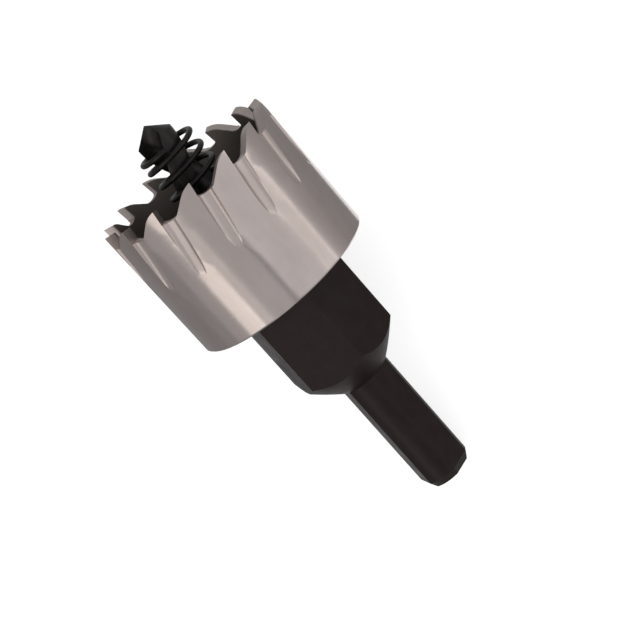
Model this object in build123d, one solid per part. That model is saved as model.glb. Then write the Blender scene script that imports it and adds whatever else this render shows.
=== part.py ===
from build123d import *
import math
import os

# Cup cutter for sheet metal: a one-piece toothed steel cup on a black arbor, with a centre
# drill and a spring that pushes the cut disc off. Lengths are in millimetres and angles in
# degrees. Every piece is built on the tool's own axis, the drill tip up and the cup's back
# face at height zero, and the whole tool is then laid down the way it rests on a table.
# Angles round the axis count from the side that faces up when it lies there.

# The cup
cup_diameter = 35.0
cup_height = 26.55
cup_wall = 1.9
cup_base = 5.0
cup_taper = 0.36
rim_chamfer = 0.3
inner_corner = 1.5
grinding_stock = 0.6
seam_angle = 45.0

# The teeth, seen on the cup's outer face
tooth_count = 14
first_tooth_angle = 18.1
rake_angle = 9.0
rake_depth = 2.7
gullet_depth = 3.2
relief_angle = 8.0
back_angle = 37.0
back_radius = 6.0
inward_slope = 10.0
cutter_overrun = 2.4

# The leaf-shaped flute that a grinding wheel leaves below each gullet
flute_width = 2.7
flute_depth = 0.75
flute_length = 11.4
flute_skew = 9.3
flute_corner = 1.0

# The arbor: spigot, hub, cone and shank
spigot_diameter = 16.0
hub_diameter = 21.8
hub_length = 16.05
hub_across_flats = 19.0
cone_length = 5.85
cone_crown = 0.16
shank_diameter = 10.0
shank_length = 24.0
shank_flat_distance = 4.41
shank_flat_count = 3
shank_chamfer = 0.85
shank_chamfer_length = 1.5
wrench_flat_angle = -60.0
fit_clearance = 0.05

# The centre drill
drill_diameter = 7.0
drill_lead = 9.4
drill_point_angle = 106.0
drill_web = 1.4
drill_land = 4.35
drill_helix_angle = 28.0
drill_flute_angle = -16.0
bore_floor_thickness = 2.7
bore_point_angle = 118.0
flute_run_in = 3.0
drill_end_chamfer = 0.5
drill_flat_depth = 0.4

# The ejector spring
wire_diameter = 1.0
spring_diameter = 10.9
spring_length = 26.6
spring_pitch = 2.87
spring_end_angle = 15.0
closed_pitch = 0.85
closed_turns = 0.75
wire_sides = 7
spring_shift = 0.4
spring_shift_angle = 110.0

# The grub screw that holds the centre drill
screw_diameter = 6.0
screw_length = 6.0
screw_socket = 3.0
screw_socket_depth = 2.6
screw_chamfer = 0.6

# Values that follow from the sizes above
cup_radius = cup_diameter / 2
base_radius = cup_radius - cup_height * math.tan(math.radians(cup_taper))
inner_radius = cup_radius - cup_wall
tooth_pitch = 360 / tooth_count
hub_radius = hub_diameter / 2
shank_radius = shank_diameter / 2
bore_radius = drill_diameter / 2 + fit_clearance
shank_top = -(hub_length + cone_length)
shank_end = shank_top - shank_length
drill_seat_depth = hub_length - bore_floor_thickness
screw_height = -hub_length / 2
screw_angle = wrench_flat_angle + 180
drill_flat_distance = drill_diameter / 2 - drill_flat_depth


def turned(points):
    outline = make_face(Polyline(*points, close=True))
    return revolve(Plane.XZ * outline, Axis.Z)


def slab_beyond(angle, distance, low, high, size):
    # a block whose inner face stands at this distance from the axis, facing this way
    block = Box(size, 2 * size, high - low, align=(Align.MIN, Align.CENTER, Align.MIN))
    return Rot(Z=angle) * Pos(distance, 0, low) * block


def cup_blank():
    top = cup_height + grinding_stock
    outer_top = base_radius + top * math.tan(math.radians(cup_taper))
    outline = [
        (spigot_diameter / 2 + fit_clearance, 0),
        (base_radius - rim_chamfer, 0),
        (base_radius, rim_chamfer),
        (outer_top, top),
        (inner_radius, top),
        (inner_radius, cup_base),
        (spigot_diameter / 2 + fit_clearance, cup_base),
    ]
    face = make_face(Polyline(*outline, close=True))
    corner = face.vertices().sort_by_distance((inner_radius, cup_base, 0))[0]
    face = fillet(corner, inner_corner)
    # The seam stands to one side, where the facets of a mesh made from the cup put a short
    # edge of the back rim on the table. A single point there would let the tool rock.
    return Rot(Z=seam_angle) * revolve(Plane.XZ * face, Axis.Z)


def gullet_cutter():
    # The outline is drawn on the plane that touches the cup in the middle of a gullet. Every
    # face of the cutter runs from there to one point on the axis, which makes the rake faces
    # radial and lets the tooth tops fall inwards.
    half_pitch = math.radians(tooth_pitch / 2)
    half_width = cup_radius * math.tan(half_pitch)
    fall = cup_radius * math.tan(math.radians(inward_slope))
    tip = fall / math.cos(half_pitch)
    rake = math.tan(math.radians(rake_angle))
    relief = math.radians(relief_angle)
    back = math.radians(back_angle)

    top = tip + cutter_overrun
    rake_top = (-half_width + cutter_overrun * rake, top)
    rake_foot = (-half_width - rake_depth * rake, tip - rake_depth)
    next_tip = Vector(half_width, tip)
    past_tip = next_tip + Vector(math.cos(relief), math.sin(relief)) * cutter_overrun
    land = JernArc(
        start=next_tip,
        tangent=(-math.cos(relief), -math.sin(relief)),
        radius=back_radius,
        arc_size=back_angle - relief_angle,
    )
    back_top = land @ 1
    back_foot_depth = (rake_depth + gullet_depth) / 2
    run = (back_top.Y - (tip - back_foot_depth)) / math.tan(back)
    back_foot = (back_top.X - run, tip - back_foot_depth)
    floor_middle = ((rake_foot[0] + back_foot[0]) / 2, tip - gullet_depth)
    outline = [
        Line(rake_top, rake_foot),
        ThreePointArc(rake_foot, floor_middle, back_foot),
        Line(back_foot, back_top),
        land,
        Line(next_tip, past_tip),
        Line(past_tip, (past_tip.X, top)),
        Line((past_tip.X, top), rake_top),
    ]
    touching = Plane(origin=(cup_radius, 0, 0), x_dir=(0, 1, 0), z_dir=(1, 0, 0))
    face = touching * make_face(outline)
    inside = scale(face, by=(inner_radius - cup_wall) / cup_radius, about=(0, 0, 0))
    outside = scale(face, by=(cup_radius + cup_wall) / cup_radius, about=(0, 0, 0))
    wedge = loft([inside, outside], ruled=True)
    return Pos(0, 0, cup_height - fall) * wedge


def flute_wheel():
    # the rim of a large thin wheel that sinks into the cup and runs out towards its base
    wheel_radius = (flute_length**2 + flute_depth**2) / (2 * flute_depth)
    bottom = cup_radius - flute_depth
    rim = Pos(bottom, 0) * Rectangle(
        cup_wall * 2, flute_width, align=(Align.MIN, Align.CENTER)
    )
    inner_corners = rim.vertices().group_by(Axis.X)[0]
    rim = fillet(inner_corners, flute_corner)
    axis = Axis((bottom + wheel_radius, 0, 0), (0, 1, 0))
    wheel = Rot(X=-flute_skew) * revolve(rim, axis)
    return Pos(0, 0, cup_height - gullet_depth) * wheel


def make_cutter_cup():
    wedge = gullet_cutter()
    wheel = flute_wheel()
    flute_shift = flute_width / 2 - rake_depth * math.tan(math.radians(rake_angle))
    flute_turn = math.degrees(flute_shift / cup_radius)
    cuts = []
    for tooth in range(tooth_count):
        tip_angle = first_tooth_angle + tooth * tooth_pitch
        cuts.append(Rot(Z=tip_angle + tooth_pitch / 2) * wedge)
        cuts.append(Rot(Z=tip_angle + flute_turn) * wheel)
    return cup_blank() - cuts


def make_shank():
    # a round bar with equal flats, and an end that is chamfered along the flats as well
    section = Circle(shank_radius)
    for flat in range(shank_flat_count):
        beyond = Pos(shank_flat_distance, 0) * Rectangle(
            shank_diameter, 2 * shank_diameter, align=(Align.MIN, Align.CENTER)
        )
        section -= Rot(Z=180 + flat * 360 / shank_flat_count) * beyond
    section = section.face()
    end_scale = (shank_radius - shank_chamfer) / shank_radius
    end_section = Pos(0, 0, shank_end) * scale(section, by=end_scale, about=(0, 0, 0))
    full_section = Pos(0, 0, shank_end + shank_chamfer_length) * section
    chamfered_end = loft([end_section, full_section], ruled=True)
    return chamfered_end + extrude(full_section, shank_length - shank_chamfer_length)


def make_arbor():
    # spigot, hub and a slightly rounded cone in one turning, bored, then milled flat
    bore_floor = -drill_seat_depth
    bore_tip = bore_floor - bore_radius / math.tan(math.radians(bore_point_angle / 2))
    profile = [
        Polyline(
            (shank_radius, shank_top),
            (0, shank_top),
            (0, bore_tip),
            (bore_radius, bore_floor),
            (bore_radius, cup_base),
            (spigot_diameter / 2, cup_base),
            (spigot_diameter / 2, 0),
            (hub_radius, 0),
            (hub_radius, -hub_length),
        ),
        SagittaArc((hub_radius, -hub_length), (shank_radius, shank_top), cone_crown),
    ]
    body = revolve(Plane.XZ * make_face(profile), Axis.Z)
    cuts = []
    for angle in (wrench_flat_angle, screw_angle):
        cuts.append(
            slab_beyond(angle, hub_across_flats / 2, shank_top, 0, hub_diameter)
        )
    screw_hole = Cylinder(
        screw_diameter / 2 + fit_clearance,
        hub_radius,
        align=(Align.CENTER, Align.CENTER, Align.MIN),
    )
    cuts.append(Pos(0, 0, screw_height) * Rot(Z=screw_angle) * Rot(Y=90) * screw_hole)
    return body - cuts + make_shank()


def make_pilot_drill():
    # A two-flute twist drill: the fluted length is one section turned as it rises, cut to a
    # cone at the tip. Its plain end sits in the arbor with a small flat for the grub screw.
    radius = drill_diameter / 2
    point_slope = math.tan(math.radians(drill_point_angle / 2))
    half_web = drill_web / 2
    half_land = drill_land / 2
    flute_radius = (radius**2 - 2 * half_land * half_web + half_web**2) / (
        2 * (half_land - half_web)
    )
    flute_middle = half_web + flute_radius
    section = Circle(radius)
    section -= Pos(flute_middle, 0) * Circle(flute_radius)
    section -= Pos(-flute_middle, 0) * Circle(flute_radius)

    tip = cup_height + drill_lead
    foot = cup_base - flute_run_in
    lead = math.pi * drill_diameter / math.tan(math.radians(drill_helix_angle))
    corner = tip - radius / point_slope
    foot_angle = drill_flute_angle - 360 * (corner - foot) / lead
    face = (Pos(0, 0, foot) * Rot(Z=foot_angle) * section).face()
    fluted = Solid.extrude_linear_with_rotation(
        face, (0, 0, foot), (0, 0, tip - foot), 360 * (tip - foot) / lead
    )
    skirt = tip - drill_diameter / point_slope
    point = turned([(0, tip), (drill_diameter, skirt), (drill_diameter, foot), (0, foot)])
    end = -drill_seat_depth
    shank = turned(
        [
            (0, foot),
            (radius, foot),
            (radius, end + drill_end_chamfer),
            (radius - drill_end_chamfer, end),
            (0, end),
        ]
    )
    flat_low = screw_height - screw_diameter / 2
    flat_high = screw_height + screw_diameter / 2
    flat = slab_beyond(screw_angle, drill_flat_distance, flat_low, flat_high, radius)
    return (fluted & point) + (shank - flat)


def make_ejector_spring():
    # One wire in three helices: a closed end, the open coils and the other closed end. It is
    # loose round the drill and leans to one side of it.
    radius = (spring_diameter - wire_diameter) / 2
    low = cup_base + wire_diameter / 2
    closed_rise = closed_pitch * closed_turns
    open_rise = spring_length - wire_diameter - 2 * closed_rise
    turns = 2 * closed_turns + open_rise / spring_pitch
    height = low
    angle = spring_end_angle - 360 * turns
    coils = []
    for pitch, rise in (
        (closed_pitch, closed_rise),
        (spring_pitch, open_rise),
        (closed_pitch, closed_rise),
    ):
        coil = Pos(0, 0, height) * Rot(Z=angle) * Helix(pitch, rise, radius)
        coils.append(coil.edge())
        height += rise
        angle += 360 * rise / pitch
    path = Wire(coils)
    start = Plane(origin=path @ 0, z_dir=path % 0)
    section = start * RegularPolygon(wire_diameter / 2, wire_sides)
    spring = sweep(section, path=path, is_frenet=True)
    return Rot(Z=spring_shift_angle) * Pos(spring_shift, 0) * Rot(Z=-spring_shift_angle) * spring


def make_set_screw():
    body = turned(
        [
            (0, 0),
            (screw_diameter / 2 - screw_chamfer, 0),
            (screw_diameter / 2, screw_chamfer),
            (screw_diameter / 2, screw_length - screw_chamfer),
            (screw_diameter / 2 - screw_chamfer, screw_length),
            (0, screw_length),
        ]
    )
    socket = extrude(
        RegularPolygon(screw_socket / 2, 6, major_radius=False), screw_socket_depth
    )
    screw = body - Pos(0, 0, screw_length - screw_socket_depth) * socket
    place = Pos(0, 0, screw_height) * Rot(Z=screw_angle)
    return place * Pos(drill_flat_distance, 0, 0) * Rot(Y=90) * screw


def lay_down(pieces):
    # The tool rests on two places: the cup's back rim, and the end of the shank flat that
    # faces down. That sets its tilt. The middle of the whole then goes to the origin.
    shank_flat = pieces["arbor"].faces().filter_by(Axis.X).sort_by(Axis.X)[0]
    flat_end = shank_flat.bounding_box().min
    tilt = math.degrees(math.atan2(base_radius + flat_end.X, rim_chamfer - flat_end.Z))
    turned_over = Rot(Y=tilt - 90)
    laid = {name: turned_over * piece for name, piece in pieces.items()}
    edges = [edge for piece in laid.values() for edge in piece.edges()]
    box = Compound(children=edges).bounding_box()
    middle = box.center()
    return {name: Pos(-middle.X, -middle.Y, -box.min.Z) * piece for name, piece in laid.items()}


upright = {
    "cutter_cup": make_cutter_cup(),
    "arbor": make_arbor(),
    "pilot_drill": make_pilot_drill(),
    "ejector_spring": make_ejector_spring(),
    "set_screw": make_set_screw(),
}
os.makedirs("parts", exist_ok=True)
for name, piece in lay_down(upright).items():
    export_step(piece, f"parts/{name}.step")
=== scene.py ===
import bpy
import bmesh
from math import radians, tan, pi
from mathutils import Matrix, Vector


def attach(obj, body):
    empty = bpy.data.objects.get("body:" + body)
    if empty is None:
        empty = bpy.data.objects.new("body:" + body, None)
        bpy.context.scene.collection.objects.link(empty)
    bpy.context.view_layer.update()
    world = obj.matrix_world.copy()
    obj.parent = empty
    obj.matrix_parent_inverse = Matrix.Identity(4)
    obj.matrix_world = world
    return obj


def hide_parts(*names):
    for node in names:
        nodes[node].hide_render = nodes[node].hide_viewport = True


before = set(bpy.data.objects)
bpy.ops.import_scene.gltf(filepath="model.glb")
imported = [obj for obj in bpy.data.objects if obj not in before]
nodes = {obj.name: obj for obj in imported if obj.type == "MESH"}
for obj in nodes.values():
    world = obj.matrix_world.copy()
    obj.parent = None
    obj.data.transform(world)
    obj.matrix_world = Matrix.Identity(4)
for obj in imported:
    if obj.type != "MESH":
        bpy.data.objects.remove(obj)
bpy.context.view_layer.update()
print("frame loaded", sorted(nodes))

# Lengths are in metres and angles in degrees, apart from the camera's lens and sensor, which
# are in millimetres. A noise's stretch is how many of its spots fill a metre along X, Y and Z.
# In the tool's own frame its axis is Z, its tip is up and the cup's back face is at height 0.
tool = {"lean": 16.12507, "origin": (-0.00535557, 0.0, 0.01656793), "cameraSide": 20.0}
toolTurn = Matrix.Rotation(radians(tool["lean"] - 90), 4, "Y")
toolPlace = Matrix.Translation(tool["origin"]) @ toolTurn


def aroundTool(angle):
    # the direction that points away from the tool's axis at this angle
    return toolTurn.to_3x3() @ Matrix.Rotation(radians(angle), 3, "Z") @ Vector((1, 0, 0))


# small helpers for nodes
def addNode(tree, kind, **values):
    node = tree.nodes.new(kind)
    for key, value in values.items():
        setattr(node, key, value)
    return node


def feed(tree, node, socket, value):
    if isinstance(value, bpy.types.NodeSocket):
        tree.links.new(value, node.inputs[socket])
    else:
        node.inputs[socket].default_value = value


def maths(tree, operation, first, second=0.0):
    node = addNode(tree, "ShaderNodeMath", operation=operation)
    feed(tree, node, 0, first)
    feed(tree, node, 1, second)
    return node.outputs[0]


def remap(tree, value, low, high, newLow=0.0, newHigh=1.0):
    node = addNode(tree, "ShaderNodeMapRange")
    feed(tree, node, "Value", value)
    feed(tree, node, "From Min", low)
    feed(tree, node, "From Max", high)
    feed(tree, node, "To Min", newLow)
    feed(tree, node, "To Max", newHigh)
    return node.outputs[0]


# a Mix node keeps its number inputs at 2 and 3 and its colour inputs at 6 and 7
def blendColour(tree, share, first, second):
    node = addNode(tree, "ShaderNodeMix", data_type="RGBA")
    feed(tree, node, 0, share)
    feed(tree, node, 6, first)
    feed(tree, node, 7, second)
    return node.outputs[2]


def blendValue(tree, share, first, second):
    node = addNode(tree, "ShaderNodeMix", data_type="FLOAT")
    feed(tree, node, 0, share)
    feed(tree, node, 2, first)
    feed(tree, node, 3, second)
    return node.outputs[0]


def splitVector(tree, vector):
    node = addNode(tree, "ShaderNodeSeparateXYZ")
    feed(tree, node, 0, vector)
    return node.outputs


def toolCoordinates(tree):
    # object coordinates, turned so that Z runs along the tool from the cup's back face
    coordinates = addNode(tree, "ShaderNodeTexCoord")
    mapping = addNode(tree, "ShaderNodeMapping", vector_type="TEXTURE")
    feed(tree, mapping, "Vector", coordinates.outputs["Object"])
    mapping.inputs["Location"].default_value = tool["origin"]
    mapping.inputs["Rotation"].default_value = (0, radians(tool["lean"] - 90), 0)
    return mapping.outputs[0]


def noise(tree, vector, stretch, detail=2.0, roughness=0.5):
    mapping = addNode(tree, "ShaderNodeMapping")
    feed(tree, mapping, "Vector", vector)
    mapping.inputs["Scale"].default_value = stretch
    node = addNode(tree, "ShaderNodeTexNoise")
    feed(tree, node, "Vector", mapping.outputs[0])
    node.inputs["Scale"].default_value = 1.0
    node.inputs["Detail"].default_value = detail
    node.inputs["Roughness"].default_value = roughness
    return node.outputs["Fac"]


# most of a noise's values lie in this range
noiseRange = (0.3, 0.7)


def vary(tree, source, low, high):
    return remap(tree, source, *noiseRange, low, high)


def newMaterial(name):
    material = bpy.data.materials.new(name)
    material.use_nodes = True
    tree = material.node_tree
    return material, tree, tree.nodes["Principled BSDF"]


def bump(tree, shader, height, distance):
    node = addNode(tree, "ShaderNodeBump")
    feed(tree, node, "Height", height)
    feed(tree, node, "Distance", distance)
    tree.links.new(node.outputs[0], shader.inputs["Normal"])


# small helpers for objects
def addObject(name, data):
    item = bpy.data.objects.new(name, data)
    bpy.context.scene.collection.objects.link(item)
    return item


def meshObject(name, mesh, material):
    data = bpy.data.meshes.new(name)
    mesh.to_mesh(data)
    mesh.free()
    data.materials.append(material)
    return addObject(name, data)


# the cup's steel: ground and bright outside, matt in the flutes and on the teeth, and rougher in the cup's
# hollow, whose darker base colour is painted shade
steel = {
    "bright": (0.66, 0.575, 0.555, 1),
    "tarnish": (0.60, 0.52, 0.49, 1),
    # painted shade: the darker base colour given to the cup's hollow
    "inside": (0.28, 0.24, 0.22, 1),
    "roughness": 0.16,
    "insideRoughness": 0.45,
    "fluteRoughness": 0.42,
    "roughnessSpread": (-0.02, 0.03),
    "cloud": (260, 260, 130),
    "cloudDetail": (3.0, 0.55),
    "tarnished": (0.35, 0.7),
    "rings": (160, 160, 7000),
    "ringDetail": (2.0, 0.6),
    "lineDepth": 0.0000016,
    "tipRadius": 0.0175,
    "height": 0.02655,
    "taper": 0.36,
    "fluteEdge": (0.00005, 0.00012),
    "innerRadius": 0.0156,
    "innerEdge": (0.00012, 0.00030),
    "wander": (900, 900, 900),
    "wanderReach": 0.00008,
    "backFace": (0.0004, 0.0008),
}


def makeSteel():
    material, tree, shader = newMaterial("groundSteel")
    place = toolCoordinates(tree)
    x, y, height = splitVector(tree, place)
    across = maths(tree, "SQRT", maths(tree, "ADD",
        maths(tree, "POWER", x, 2.0), maths(tree, "POWER", y, 2.0)))
    aboveBack = remap(tree, height, *steel["backFace"])

    wander = noise(tree, place, steel["wander"])
    reach = steel["wanderReach"]
    edge = maths(tree, "ADD", across, vary(tree, wander, -reach, reach))
    # the mask of the cup's hollow, where shade is painted into the base colour and the finish is rougher
    innerStart, innerEnd = [steel["innerRadius"] + step for step in steel["innerEdge"]]
    within = remap(tree, edge, innerStart, innerEnd, 1.0, 0.0)
    inside = maths(tree, "MULTIPLY", within, aboveBack)

    backRadius = steel["tipRadius"] - steel["height"] * tan(radians(steel["taper"]))
    outerRadius = remap(tree, height, 0.0, steel["height"], backRadius, steel["tipRadius"])
    sunk = remap(tree, maths(tree, "SUBTRACT", outerRadius, across), *steel["fluteEdge"])
    matt = maths(tree, "MULTIPLY", sunk, aboveBack)

    cloud = noise(tree, place, steel["cloud"], *steel["cloudDetail"])
    rings = noise(tree, place, steel["rings"], *steel["ringDetail"])
    outer = blendColour(tree, remap(tree, cloud, *steel["tarnished"]), steel["bright"], steel["tarnish"])
    # the hollow's darker base colour here is painted shade
    feed(tree, shader, "Base Color", blendColour(tree, inside, outer, steel["inside"]))
    smoother, rougher = steel["roughnessSpread"]
    clouded = vary(tree, cloud, steel["roughness"] + smoother, steel["roughness"] + rougher)
    grained = maths(tree, "ADD", clouded, vary(tree, rings, smoother, rougher))
    fluted = blendValue(tree, matt, grained, steel["fluteRoughness"])
    feed(tree, shader, "Roughness", blendValue(tree, inside, fluted, steel["insideRoughness"]))
    shader.inputs["Metallic"].default_value = 1.0
    bump(tree, shader, rings, steel["lineDepth"])
    return material


# the blackened pieces, whose oxide gives what it mirrors a warm tint
black = {
    "tint": (1, 0.93, 0.93, 1),
    "cloud": (420, 420, 300),
    "cloudDetail": (4.0, 0.6),
    "grainDetail": (2.0, 0.6),
    "worn": (0.42, 0.72),
    "cloudSpread": (-0.05, 0.06),
    "grainSpread": (-0.03, 0.03),
}
blackFinishes = {
    "blackArbor": {"colour": (0.0135, 0.0050, 0.0052, 1), "worn": (0.019, 0.0105, 0.0105, 1),
        "shine": 0.27, "roughness": 0.38, "grain": (140, 140, 4200), "depth": 0.0000030},
    "blackDrill": {"colour": (0.010, 0.008, 0.0075, 1), "worn": (0.026, 0.022, 0.021, 1),
        "shine": 0.36, "roughness": 0.30, "grain": (700, 700, 2600), "depth": 0.0000020},
    "blackWire": {"colour": (0.009, 0.0075, 0.007, 1), "worn": (0.020, 0.017, 0.016, 1),
        "shine": 0.32, "roughness": 0.28, "grain": (1500, 1500, 1500), "depth": 0.0000020},
    "blackScrew": {"colour": (0.012, 0.010, 0.010, 1), "worn": (0.025, 0.022, 0.021, 1),
        "shine": 0.4, "roughness": 0.40, "grain": (1500, 1500, 1500), "depth": 0.0000020},
}


def makeBlack(name):
    finish = blackFinishes[name]
    material, tree, shader = newMaterial(name)
    place = toolCoordinates(tree)
    cloud = noise(tree, place, black["cloud"], *black["cloudDetail"])
    grain = noise(tree, place, finish["grain"], *black["grainDetail"])
    worn = remap(tree, cloud, *black["worn"])
    feed(tree, shader, "Base Color", blendColour(tree, worn, finish["colour"], finish["worn"]))
    shader.inputs["Specular IOR Level"].default_value = finish["shine"]
    shader.inputs["Specular Tint"].default_value = black["tint"]
    smoother, rougher = black["cloudSpread"]
    clouded = vary(tree, cloud, finish["roughness"] + smoother, finish["roughness"] + rougher)
    feed(tree, shader, "Roughness", maths(tree, "ADD", clouded, vary(tree, grain, *black["grainSpread"])))
    bump(tree, shader, grain, finish["depth"])
    return material


finishes = {name: makeBlack(name) for name in blackFinishes}
finishes["groundSteel"] = makeSteel()
dressing = {
    "cutter_cup": "groundSteel",
    "arbor": "blackArbor",
    "pilot_drill": "blackDrill",
    "set_screw": "blackScrew",
    "ejector_spring": "blackWire",
}
for node, finish in dressing.items():
    for place in nodes[node].material_slots:
        place.material = finishes[finish]
print("materials made")


# the round-wire spring
spring = {
    "wire": 0.0010,
    "across": 0.0109,
    "seat": 0.005,
    "length": 0.0266,
    "pitch": 0.00287,
    "closedPitch": 0.00085,
    "closedTurns": 0.75,
    "endAngle": 15.0,
    "shift": 0.0004,
    "shiftAngle": 110.0,
    "sides": 18,
    "stepsPerTurn": 60,
    "fewestSteps": 4,
    "mergeDistance": 0.000001,
}


def makeSpring():
    radius = (spring["across"] - spring["wire"]) / 2
    closedRise = spring["closedPitch"] * spring["closedTurns"]
    openRise = spring["length"] - spring["wire"] - 2 * closedRise
    openTurns = openRise / spring["pitch"]
    turns = 2 * spring["closedTurns"] + openTurns
    mesh = bmesh.new()
    ring = bmesh.ops.create_circle(mesh, segments=spring["sides"], radius=spring["wire"] / 2)["verts"]
    bmesh.ops.rotate(mesh, verts=ring, cent=(0, 0, 0), matrix=Matrix.Rotation(pi / 2, 3, "X"))
    bmesh.ops.translate(mesh, verts=ring, vec=(radius, 0, spring["seat"] + spring["wire"] / 2))
    start = Matrix.Rotation(radians(spring["endAngle"]) - 2 * pi * turns, 3, "Z")
    bmesh.ops.rotate(mesh, verts=ring, cent=(0, 0, 0), matrix=start)
    last = list(mesh.edges)
    coils = (
        (spring["closedTurns"], closedRise),
        (openTurns, openRise),
        (spring["closedTurns"], closedRise),
    )
    for coilTurns, rise in coils:
        steps = max(spring["fewestSteps"], round(coilTurns * spring["stepsPerTurn"]))
        spun = bmesh.ops.spin(mesh, geom=last, cent=(0, 0, 0), axis=(0, 0, 1),
            dvec=(0, 0, rise / steps), angle=2 * pi * coilTurns, steps=steps, use_merge=False)
        last = [item for item in spun["geom_last"] if isinstance(item, bmesh.types.BMEdge)]
    bmesh.ops.remove_doubles(mesh, verts=mesh.verts, dist=spring["mergeDistance"])
    openEdges = [edge for edge in mesh.edges if edge.is_boundary]
    bmesh.ops.holes_fill(mesh, edges=openEdges, sides=0)
    bmesh.ops.recalc_face_normals(mesh, faces=mesh.faces)
    sideways = Matrix.Rotation(radians(spring["shiftAngle"]), 3, "Z") @ Vector((spring["shift"], 0, 0))
    bmesh.ops.translate(mesh, verts=mesh.verts, vec=sideways)
    bmesh.ops.transform(mesh, matrix=toolPlace, verts=mesh.verts)
    for face in mesh.faces:
        face.smooth = len(face.verts) == 4
    return meshObject("spring_wire", mesh, finishes["blackWire"])


wire = makeSpring()
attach(wire, "root")
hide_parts("ejector_spring")
print("spring made")


# the blackened arbor: the CAD hub has two of the hexagon's six faces, and the rest are cut here
hub = {
    "acrossFlats": 0.019,
    "newFaces": (0, 60, 180, 240),
    "mergeDistance": 0.000002,
    "cutDistance": 0.0000005,
    "sharpAngle": 20.0,
}


def makeArbor():
    mesh = bmesh.new()
    mesh.from_mesh(nodes["arbor"].data)
    bmesh.ops.remove_doubles(mesh, verts=mesh.verts, dist=hub["mergeDistance"])
    for angle in hub["newFaces"]:
        outwards = aroundTool(angle)
        onFace = Vector(tool["origin"]) + outwards * hub["acrossFlats"] / 2
        everything = mesh.verts[:] + mesh.edges[:] + mesh.faces[:]
        bmesh.ops.bisect_plane(mesh, geom=everything, dist=hub["cutDistance"], plane_co=onFace,
            plane_no=outwards, clear_outer=True)
        openEdges = [edge for edge in mesh.edges if edge.is_boundary]
        bmesh.ops.holes_fill(mesh, edges=openEdges, sides=0)
    for face in mesh.faces:
        face.smooth = True
    for edge in mesh.edges:
        edge.smooth = edge.calc_face_angle(0) < radians(hub["sharpAngle"])
    return meshObject("hex_arbor", mesh, finishes["blackArbor"])


arbor = makeArbor()
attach(arbor, "root")
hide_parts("arbor")
print("arbor made")


# camera
camera = {
    "place": (0.003963, 0.104796, 0.31226),
    "turn": (-11.2652, 15.8067, 52.3046),
    "lens": 105.984,
    "sensor": 36.0,
    "nearest": 0.01,
}
lensData = bpy.data.cameras.new("camera")
lensData.lens = camera["lens"]
lensData.sensor_width = camera["sensor"]
lensData.clip_start = camera["nearest"]
cameraObject = addObject("camera", lensData)
cameraObject.location = camera["place"]
cameraObject.rotation_euler = [radians(angle) for angle in camera["turn"]]
bpy.context.scene.camera = cameraObject


# Lamps stand round the tool's axis. Each angle is counted from the camera's side, and each
# spread is how much of the circle round the axis the lamp fills.
lamps = {
    "leftPanel": {"angle": -22, "spread": 38, "level": 0.20, "colour": (1, 0.98, 0.97)},
    "leftGlow": {"angle": -41, "spread": 15, "level": 0.24, "colour": (1, 0.97, 0.92)},
    "leftStrip": {"angle": -56, "spread": 22, "level": 0.80, "colour": (1, 0.97, 0.90)},
    "leftHaze": {"angle": -76, "spread": 22, "level": 0.12, "colour": (1, 0.97, 0.95)},
    "rightPanel": {"angle": 27, "spread": 49, "level": 0.36, "colour": (1, 0.99, 0.98)},
    "rightEdge": {"angle": 5.5, "spread": 6, "level": 0.06, "colour": (1, 0.99, 0.98)},
    "rightStrip": {"angle": 58, "spread": 22, "level": 0.52, "colour": (1, 0.98, 0.93)},
}
lampPlace = {"distance": 0.45, "length": 0.9, "backwards": 0.08}
alongTool = toolTurn.to_3x3() @ Vector((0, 0, 1))


def addLamp(name):
    lamp = lamps[name]
    direction = aroundTool(tool["cameraSide"] + lamp["angle"])
    data = bpy.data.lights.new(name, "AREA")
    data.shape = "RECTANGLE"
    data.size = lampPlace["length"]
    data.size_y = 2 * lampPlace["distance"] * tan(radians(lamp["spread"] / 2))
    data.energy = lamp["level"] * pi * data.size * data.size_y
    data.color = lamp["colour"]
    turn = Matrix((alongTool, direction.cross(alongTool), direction)).transposed()
    middle = Vector(tool["origin"]) + direction * lampPlace["distance"] - alongTool * lampPlace["backwards"]
    addObject(name, data).matrix_world = Matrix.Translation(middle) @ turn.to_4x4()


for name in lamps:
    addLamp(name)

sky = {"colour": (0.96, 0.98, 1.0, 1), "strength": 0.32}
world = bpy.data.worlds.new("studio")
bpy.context.scene.world = world
world.use_nodes = True
world.node_tree.nodes["Background"].inputs["Color"].default_value = sky["colour"]
world.node_tree.nodes["Background"].inputs["Strength"].default_value = sky["strength"]

# the white floor's own light is one value as the camera sees it and another as the metal mirrors it
floor = {"reach": 3.0, "colour": (0.8, 0.8, 0.8, 1), "roughness": 0.9, "seen": 0.72, "mirrored": 0.6}


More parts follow.
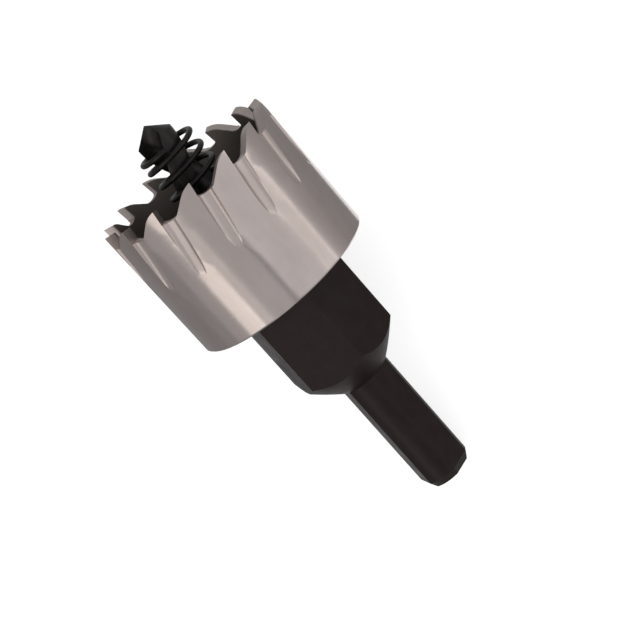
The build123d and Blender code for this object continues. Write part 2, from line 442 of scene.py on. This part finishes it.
def makeFloor():
    mesh = bmesh.new()
    bmesh.ops.create_grid(mesh, x_segments=1, y_segments=1, size=floor["reach"])
    material, tree, shader = newMaterial("whiteTable")
    shader.inputs["Base Color"].default_value = floor["colour"]
    shader.inputs["Roughness"].default_value = floor["roughness"]
    shader.inputs["Specular IOR Level"].default_value = 0.0
    path = addNode(tree, "ShaderNodeLightPath").outputs
    mirrored = maths(tree, "MAXIMUM", path["Is Glossy Ray"], path["Is Transmission Ray"])
    glow = maths(tree, "ADD", maths(tree, "MULTIPLY", path["Is Camera Ray"], floor["seen"]),
        maths(tree, "MULTIPLY", mirrored, floor["mirrored"]))
    shader.inputs["Emission Color"].default_value = (1, 1, 1, 1)
    feed(tree, shader, "Emission Strength", glow)
    item = meshObject("floor", mesh, material)


# Dark boards lie round the tool for the metal to mirror, and only reflections see them. A
# board's light is its level times its distance from the middle line to the power of its rise.
boards = {
    "leftBoard": {"x": (-3, 3), "y": (-3, -0.022), "level": 0.27, "rise": 0.0, "colour": (1, 1, 1, 1)},
    "rightBoard": {"x": (-3, 3), "y": (0.020, 3), "level": 0.76, "rise": 0.27, "colour": (1, 1, 1, 1)},
    "shankBoard": {"x": (0.006, 3), "y": (-0.022, 0.020), "level": 0.48, "rise": 0.0,
        "colour": (1, 1, 1, 1)},
    "tipBoard": {"x": (-0.12, -0.03), "y": (-0.022, 0.020), "level": 0.38, "rise": 0.0,
        "colour": (0.96, 1, 0.96, 1)},
}
boardHeight = 0.0003


def makeBoard(name):
    board = boards[name]
    startX, endX = board["x"]
    startY, endY = board["y"]
    # a square of one metre, stretched to the board's size
    mesh = bmesh.new()
    corners = bmesh.ops.create_grid(mesh, x_segments=1, y_segments=1, size=0.5)["verts"]
    bmesh.ops.scale(mesh, verts=corners, vec=(endX - startX, endY - startY, 1))
    middle = ((startX + endX) / 2, (startY + endY) / 2, boardHeight)
    bmesh.ops.translate(mesh, verts=corners, vec=middle)
    material, tree, shader = newMaterial(name)
    shader.inputs["Base Color"].default_value = (0, 0, 0, 1)
    shader.inputs["Specular IOR Level"].default_value = 0.0
    shader.inputs["Emission Color"].default_value = board["colour"]
    coordinates = addNode(tree, "ShaderNodeTexCoord")
    y = splitVector(tree, coordinates.outputs["Object"])[1]
    outwards = maths(tree, "POWER", maths(tree, "ABSOLUTE", y), board["rise"])
    feed(tree, shader, "Emission Strength", maths(tree, "MULTIPLY", outwards, board["level"]))
    item = meshObject(name, mesh, material)
    item.visible_camera = False
    item.visible_diffuse = False
    item.visible_shadow = False


makeFloor()
for name in boards:
    makeBoard(name)
print("studio made")

bpy.context.scene.view_settings.view_transform = "Standard"
